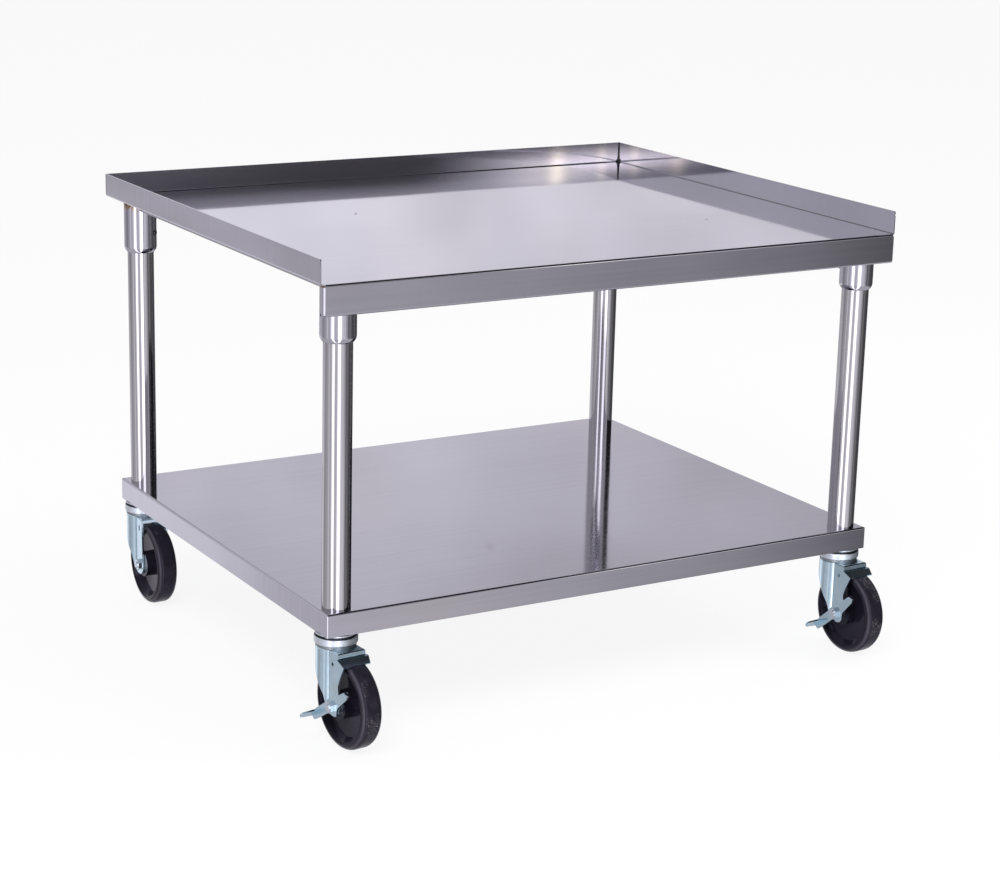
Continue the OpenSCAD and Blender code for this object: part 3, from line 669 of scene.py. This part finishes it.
def wheel_finish(look):
    """Glossy black wheel, scuffed and dusty on the tread, with a painted highlight along its rims."""
    material, f = new_finish("glossy_black_wheel")
    at = f.coords()
    fine = f.noise(at, (260, 260, 260), detail=3.0, rough=0.6)
    patch = f.noise(at, (30, 30, 30), detail=2.0)
    side = abs(f.split(f.add("ShaderNodeTexCoord", output="Normal"))[0])
    _, across, up = f.split(f.add("ShaderNodeTexCoord", output="Generated"))
    across, up = across - 0.5, up - 0.5
    reach = (across * across + up * up) * 4
    outer = reach.step(0.8, 0.86)
    tread = outer * side.step(0.5, 0.1)
    # Painted highlight along the rims, where the tread turns into the side
    rim_highlight = outer * side.bell(0.72, 0.16)
    dust = tread * (patch * 0.6 + fine * 0.4).step(0.3, 0.7)
    dusty = solid([channel + 0.006 for channel in look.wheel])
    specks = f.noise(at, (900, 900, 900), detail=1.0)
    worn = tread * patch.step(0.5, 0.62) * specks.step(0.6, 0.66)
    colour = f.tint(worn * 0.75, f.tint(dust, solid(look.wheel), dusty), SCUFF)
    f.principled(
        Base_Color=f.tint(rim_highlight * (patch * 0.5 + 0.25), colour, RIM_PAINTED_HIGHLIGHT),
        Roughness=look.wheel_gloss + tread * 0.06 + (fine - 0.5) * 0.06 + (patch - 0.5) * 0.05,
        IOR=1.3,
        Specular_Tint=WHEEL_SHEEN,
        Normal=f.bump(specks * worn + fine, 0.00003),
    )
    return material


def plain_finish(name, colour, gloss, metal):
    """Finish of the small inner pieces, with a faint mottle."""
    material, f = new_finish(name)
    spots = f.noise(f.coords(), (140, 140, 140), detail=3.0)
    f.principled(
        Base_Color=f.tint(spots, shade(colour, 0.85), shade(colour, 1.15)),
        Metallic=metal,
        Roughness=gloss + (spots - 0.5) * 0.1,
        Normal=f.bump(spots, 0.00003),
    )
    return material


class STAND_OT_casters(bpy.types.Operator):
    """Finishes the casters' plated parts and the set screws."""

    bl_idname = "stand.casters"
    bl_label = "Finish the casters"

    def execute(self, context):
        look = context.scene.stand_casters
        dress(zinc_finish("zinc_plate", look, look.zinc), *each_corner("fork", "stem"))
        # The rings get painted shade in the gap above them and on their neck
        rings = zinc_finish("zinc_rings", look, look.ring, 0.27, ring_painted_shade)
        dress(rings, *each_corner("swivel_ring", "top_race"))
        dress(zinc_finish("zinc_fixings", look, look.ring, 0.05), *each_corner("axle_bolt", "axle_nut"))
        dress(plain_finish("black_screw", (0.10, 0.10, 0.11), 0.22, 1.0), "set_screws")
        return {"FINISHED"}


class STAND_OT_brakes(bpy.types.Operator):
    """Finishes the brake levers and shoes."""

    bl_idname = "stand.brakes"
    bl_label = "Finish the brakes"

    def execute(self, context):
        look = context.scene.stand_casters
        # The brake shoes get painted shade in their pegs' dimples
        brakes = zinc_finish("zinc_brakes", look, look.zinc, 0.02, peg_painted_shade)
        dress(brakes, *each_corner("brake_lever", "brake_shoe", corners=BRAKED))
        return {"FINISHED"}


class STAND_OT_wheels(bpy.types.Operator):
    """Finishes the wheels."""

    bl_idname = "stand.wheels"
    bl_label = "Finish the wheels"

    def execute(self, context):
        dress(wheel_finish(context.scene.stand_casters), *each_corner("wheel"))
        return {"FINISHED"}


class STAND_OT_inner(bpy.types.Operator):
    """Finishes the bearings, balls, plugs and sleeves."""

    bl_idname = "stand.inner"
    bl_label = "Finish the inner pieces"

    def execute(self, context):
        nylon = plain_finish("dark_nylon", (0.02, 0.02, 0.022), 0.5, 0.0)
        dress(nylon, "stem_plugs", *each_corner("wheel_bearing"))
        dress(plain_finish("ball_steel", (0.6, 0.6, 0.62), 0.12, 1.0), "swivel_balls")
        sleeves = plain_finish("sleeve_steel", (0.45, 0.45, 0.47), 0.3, 1.0)
        dress(sleeves, *each_corner("axle_sleeve"))
        return {"FINISHED"}


# Welds

def ring_points(centre, radius, count):
    turns = [2 * math.pi * k / count for k in range(count)]
    return [centre + Vector((math.cos(turn), math.sin(turn), 0)) * radius for turn in turns]


def rippled_bead(build, points, radius, ripple):
    """Adds a bead round a closed run of points, whose radius swells and shrinks from ripple to ripple."""
    rings = []
    count = len(points)
    run = 0.0
    for i, point in enumerate(points):
        along = (points[(i + 1) % count] - points[i - 1]).normalized()
        if i:
            run += (point - points[i - 1]).length
        else:
            side = along.orthogonal()
        side = (side - along * side.dot(along)).normalized()
        other = along.cross(side)
        reach = radius * (1 + BEAD_SWELL * math.sin(2 * math.pi * run / ripple))
        ring = []
        for k in range(BEAD_SIDES):
            turn = 2 * math.pi * k / BEAD_SIDES
            offset = side * math.cos(turn) + other * math.sin(turn)
            ring.append(build.verts.new(point + offset * reach))
        rings.append(ring)
    for i, ring in enumerate(rings):
        join_rings(build, ring, rings[(i + 1) % count])


def join_rings(build, first, second):
    """Adds the faces between two rings with as many points."""
    count = len(first)
    for k in range(count):
        after = (k + 1) % count
        build.faces.new((first[k], first[after], second[after], second[k]))


def add_ring_weld(build, node, height, out, look):
    """Adds a bead round an upright node; out is how far its middle stands from the node's wall."""
    low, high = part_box(node)
    reach = (high.x - low.x) / 2
    centre = Vector(((low.x + high.x) / 2, (low.y + high.y) / 2, height))
    count = RIPPLE_POINTS * round(2 * math.pi * reach / look.ripple)
    rippled_bead(build, ring_points(centre, reach + out, count), look.bead, look.ripple)


def add_shade_strip(build, corner, side, low, high, width):
    """Adds a thin upright dark strip in an inner corner, with a flared foot, as painted shade in the
    corner's gap.
    """
    rings = []
    levels = (
        (low, SHADE_STRIP_FOOT),
        (low + SHADE_STRIP_FOOT * 0.6, width * 1.3),
        (low + SHADE_STRIP_FOOT * 1.6, width),
        (high, width * 0.8),
    )
    for z, wide in levels:
        points = ((0, -wide), (-side * wide * 0.35, -wide * 0.35), (-side * wide, 0), (0, 0))
        rings.append([build.verts.new((corner.x + x, corner.y + y, z)) for x, y in points])
    for first, second in zip(rings, rings[1:]):
        join_rings(build, first, second)
    build.faces.new(list(reversed(rings[0])))
    build.faces.new(rings[-1])


def finished_piece(name, build, material):
    mesh = bpy.data.meshes.new(name)
    bmesh.ops.recalc_face_normals(build, faces=build.faces)
    for face in build.faces:
        face.smooth = True
    build.to_mesh(mesh)
    build.free()
    piece = bpy.data.objects.new(name, mesh)
    bpy.context.scene.collection.objects.link(piece)
    mesh.materials.append(material)
    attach(piece, "stand")


class STAND_OT_welds(bpy.types.Operator):
    """Adds the weld beads round the sockets and legs, and dark strips of painted shade in the deck's back
    corners.
    """

    bl_idname = "stand.welds"
    bl_label = "Add the welds"

    def execute(self, context):
        look = context.scene.stand_welds
        bead = weld_finish("weld_bead", context.scene.stand_steel)
        build = bmesh.new()
        for socket in each_corner("socket"):
            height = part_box(socket)[1].z - look.bead * 0.3
            add_ring_weld(build, socket, height, look.bead * 0.2, look)
        finished_piece("socket_welds", build, bead)
        build = bmesh.new()
        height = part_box("under_shelf")[1].z - LEG_WELD_SINK
        for leg in each_corner("leg"):
            add_ring_weld(build, leg, height, look.bead * 0.3, look)
        finished_piece("shelf_leg_welds", build, bead)
        # Near-black strips of painted shade in the deck's back corners
        build = bmesh.new()
        for side in (-1, 1):
            corner = Vector((side * INNER_X, INNER_Y, 0))
            add_shade_strip(build, corner, side, DECK_TOP + 0.0003, DECK_HIGH.z - 0.0004, look.seam)
        seam = plain_finish("corner_painted_shade", (0.012, 0.012, 0.014), 0.45, 0.0)
        finished_piece("corner_shade_strips", build, seam)
        return {"FINISHED"}


# Studio
# In the sky, turn is the direction in degrees, 0 to the front and 90 to the right, and rise is the
# height in degrees. Each term is a place times a level, where 1 is white.

def light_below(turn, rise):
    """Levels below the horizon: dull to the left, dark to the right."""
    left = turn.band(-150, -127, -82, -72) * 0.41 - turn.bell(-94, 6) * 0.33
    right = turn.step(-8, 78) * 0.88 - turn.step(140, 179) * 0.88
    # What the apron and the front of the shelf mirror
    panel = turn.band(20, 38, 42, 54) * (rise.step(-17, -11) * 0.12 + 0.09)
    panel = panel + turn.bell(41, 2.2) * 0.16 - turn.bell(36.3, 2) * 0.045 + turn.bell(26, 3) * 0.05
    lower_panel = turn.band(8, 20, 42, 54) * rise.step(-14.5, -17)
    panel = panel - lower_panel * (0.15 - turn.step(27, 39) * 0.22)
    # What the left edge of the deck and the left side of the shelf mirror
    tone = 0.37 - turn.bell(-156.3, 1.3) * 0.11 + turn.step(-155.6, -154.2) * 0.08
    side = turn.step(-100, -150) * rise.step(-17, -10) * tone
    side = side + turn.band(-157.5, -153.5, -140, -120) * rise.step(-13, -17) * 0.44
    side = side - turn.step(-120, -140) * rise.step(-13, -17) * 0.12
    low = 0.98 - left - right - panel - side - turn.bell(-40, 7) * 0.3
    return low + (0.62 - low) * rise.step(-21, -32)


def light_above(turn, rise):
    """Levels above the horizon: white behind, with dark areas in front and to the right."""
    # What the deck and the shelf mirror
    behind = (turn.step(146, 156) * 0.19 + 0.03) * turn.step(126, 136)
    sides = turn.step(151, 158) * 0.12 + turn.step(146, 141) * 0.08
    behind = behind - rise.step(11.3, 15) * (sides + 0.22)
    behind = behind - rise.step(16.8, 19) * 0.13
    # What the back edge mirrors
    front = turn.band(-75, -50, 28.6, 31.4) * rise.step(15.5, 10.2)
    front = front * (turn.step(20, 27) * 0.11 + 0.8)
    upper = turn.step(12, 36) * rise.step(18, 30)
    right = upper.larger(turn.step(36, 41)) * turn.step(136, 124) * 0.9
    # What the right edge mirrors
    beside = turn.band(-150, -140, -136, -120) * 0.06
    return 1.0 + behind - front - right - beside


def studio_sky(look):
    """White all round for the camera, softly graded for metal, and even for matt surfaces."""
    world = bpy.data.worlds.new("studio")
    bpy.context.scene.world = world
    f = Finish(world)
    around = f.add("ShaderNodeTexCoord", output="Generated")
    x, y, z = f.split(around)
    turn = x.math("ARCTAN2", x, -y) * (180 / math.pi)
    rise = z.math("ARCSINE", z) * (180 / math.pi)
    low = light_below(turn, rise)
    above = rise.step(-3.5, 2.5)
    # Two strip lights in front, from the floor to high up, and two small lamps
    strips = turn.band(-69, -64, -55, -49) * 1.8 + turn.band(-28, -22, -10, 0) * 1.9
    strips = strips * rise.step(72, 45) * (above * 0.4 + 1)
    lamps = turn.bell(32.1, 1.1) * rise.bell(7, 8) * 1.3 + turn.bell(-32.6, 2.2) * rise.bell(8.6, 3) * 5
    graded = low + (light_above(turn, rise) - low) * above + strips + lamps
    cloud = f.noise(around, (20, 20, 40), detail=3.0)
    graded = (graded * (cloud * 0.6 + 0.7)).larger(0.03)
    paths = f.add("ShaderNodeLightPath")
    camera, glossy, clear = f.outputs(paths, "Is Camera Ray", "Is Glossy Ray", "Is Transmission Ray")
    mirrored = (glossy - camera).larger(0)
    seen = camera.larger(clear)
    plain = 1 - seen.larger(mirrored)
    patches = f.noise(around, (14, 14, 30), detail=2.0)
    warm = lamps.step(0, 1).larger(patches.step(0.55, 0.8) * 0.7)
    colour = f.tint(mirrored, (1, 1, 1, 1), f.tint(warm, solid(look.cool), solid(look.warm)))
    strength = seen + mirrored * graded + plain * look.ambient
    shader = f.add("ShaderNodeBackground", {}, {"Color": colour, "Strength": strength})
    f.add("ShaderNodeOutputWorld", {}, {"Surface": shader})


def floor_finish(look):
    """Pale floor that keeps the stand's shadow, and can be looked through from below."""
    material, f = new_finish("studio_floor")
    [camera] = f.outputs(f.add("ShaderNodeLightPath"), "Is Camera Ray")
    matt = f.add("ShaderNodeBsdfDiffuse", {}, {"Color": solid([look.floor] * 3)})
    glow = f.add("ShaderNodeEmission", {}, {"Color": (1, 1, 1, 1), "Strength": FLOOR_GLOW})
    lit = f.add("ShaderNodeMixShader", {}, {0: camera * GLOW_SHARE, 1: matt, 2: glow})
    below = f.add("ShaderNodeNewGeometry", output="Backfacing")
    gone = f.add("ShaderNodeBsdfTransparent")
    surface = f.add("ShaderNodeMixShader", {}, {0: below, 1: lit, 2: gone})
    f.add("ShaderNodeOutputMaterial", {}, {"Surface": surface})
    return material


def add_floor(look):
    mesh = bpy.data.meshes.new("floor")
    corners = [(x * FLOOR_REACH, y * FLOOR_REACH, 0) for x, y in ((-1, -1), (1, -1), (1, 1), (-1, 1))]
    mesh.from_pydata(corners, [], [(0, 1, 2, 3)])
    mesh.materials.append(floor_finish(look))
    floor = bpy.data.objects.new("floor", mesh)
    bpy.context.scene.collection.objects.link(floor)
    floor.visible_glossy = False


def add_lamp(name, place, size, power):
    lamp = bpy.data.lights.new(name, "AREA")
    lamp.shape = "DISK"
    lamp.size = size
    lamp.energy = power
    thing = bpy.data.objects.new(name, lamp)
    bpy.context.scene.collection.objects.link(thing)
    thing.location = place
    thing.rotation_euler = (Vector(LIT_POINT) - Vector(place)).to_track_quat("-Z", "Y").to_euler()
    thing.visible_glossy = False
    thing.visible_camera = False


def add_camera(look):
    lens = bpy.data.cameras.new("camera")
    lens.sensor_fit = "HORIZONTAL"
    lens.sensor_width = SENSOR_WIDTH
    lens.lens = look.lens
    camera = bpy.data.objects.new("camera", lens)
    bpy.context.scene.collection.objects.link(camera)
    ahead = Vector(CAMERA_AHEAD).normalized()
    level = ahead.cross(Vector((0, 0, 1))).normalized()
    upright = level.cross(ahead)
    right = level * math.cos(CAMERA_ROLL) + upright * math.sin(CAMERA_ROLL)
    up = upright * math.cos(CAMERA_ROLL) - level * math.sin(CAMERA_ROLL)
    axes = Matrix((right, up, -ahead)).transposed().to_4x4()
    camera.matrix_world = Matrix.Translation(Vector(CAMERA_PLACE)) @ axes
    bpy.context.scene.camera = camera


class STAND_OT_studio(bpy.types.Operator):
    """Sets up the floor, the light and the camera."""

    bl_idname = "stand.studio"
    bl_label = "Set the studio"

    def execute(self, context):
        look = context.scene.stand_studio
        add_floor(look)
        studio_sky(look)
        for name, (place, size, power) in (("key", KEY_LAMP), ("fill", FILL_LAMP)):
            add_lamp(name, place, size, power * look.lamp)
        add_camera(look)
        context.scene.view_settings.view_transform = "Standard"
        return {"FINISHED"}


class STAND_PT_panel(bpy.types.Panel):
    """Lists what can be changed, and the steps that build the looks."""

    bl_label = "Equipment stand"
    bl_idname = "STAND_PT_panel"
    bl_space_type = "VIEW_3D"
    bl_region_type = "UI"
    bl_category = "Stand"

    def draw(self, context):
        for group in LOOKS:
            look = getattr(context.scene, group)
            for name in look.__annotations__:
                self.layout.prop(look, name)
        for operator in OPERATORS:
            self.layout.operator(operator.bl_idname)


LOOKS = {
    "stand_steel": SteelLook,
    "stand_casters": CasterLook,
    "stand_welds": WeldLook,
    "stand_studio": StudioLook,
}
OPERATORS = (
    STAND_OT_sheets,
    STAND_OT_tubes,
    STAND_OT_casters,
    STAND_OT_brakes,
    STAND_OT_wheels,
    STAND_OT_inner,
    STAND_OT_welds,
    STAND_OT_studio,
)


def register():
    for kind in (*LOOKS.values(), *OPERATORS, STAND_PT_panel):
        bpy.utils.register_class(kind)
    for name, kind in LOOKS.items():
        setattr(bpy.types.Scene, name, PointerProperty(type=kind))


def unregister():
    for name in LOOKS:
        delattr(bpy.types.Scene, name)
    for kind in reversed((*LOOKS.values(), *OPERATORS, STAND_PT_panel)):
        bpy.utils.unregister_class(kind)


def main():
    register()
    for operator in OPERATORS:
        group, name = operator.bl_idname.split(".")
        getattr(getattr(bpy.ops, group), name)()


if __name__ == "__main__":
    main()
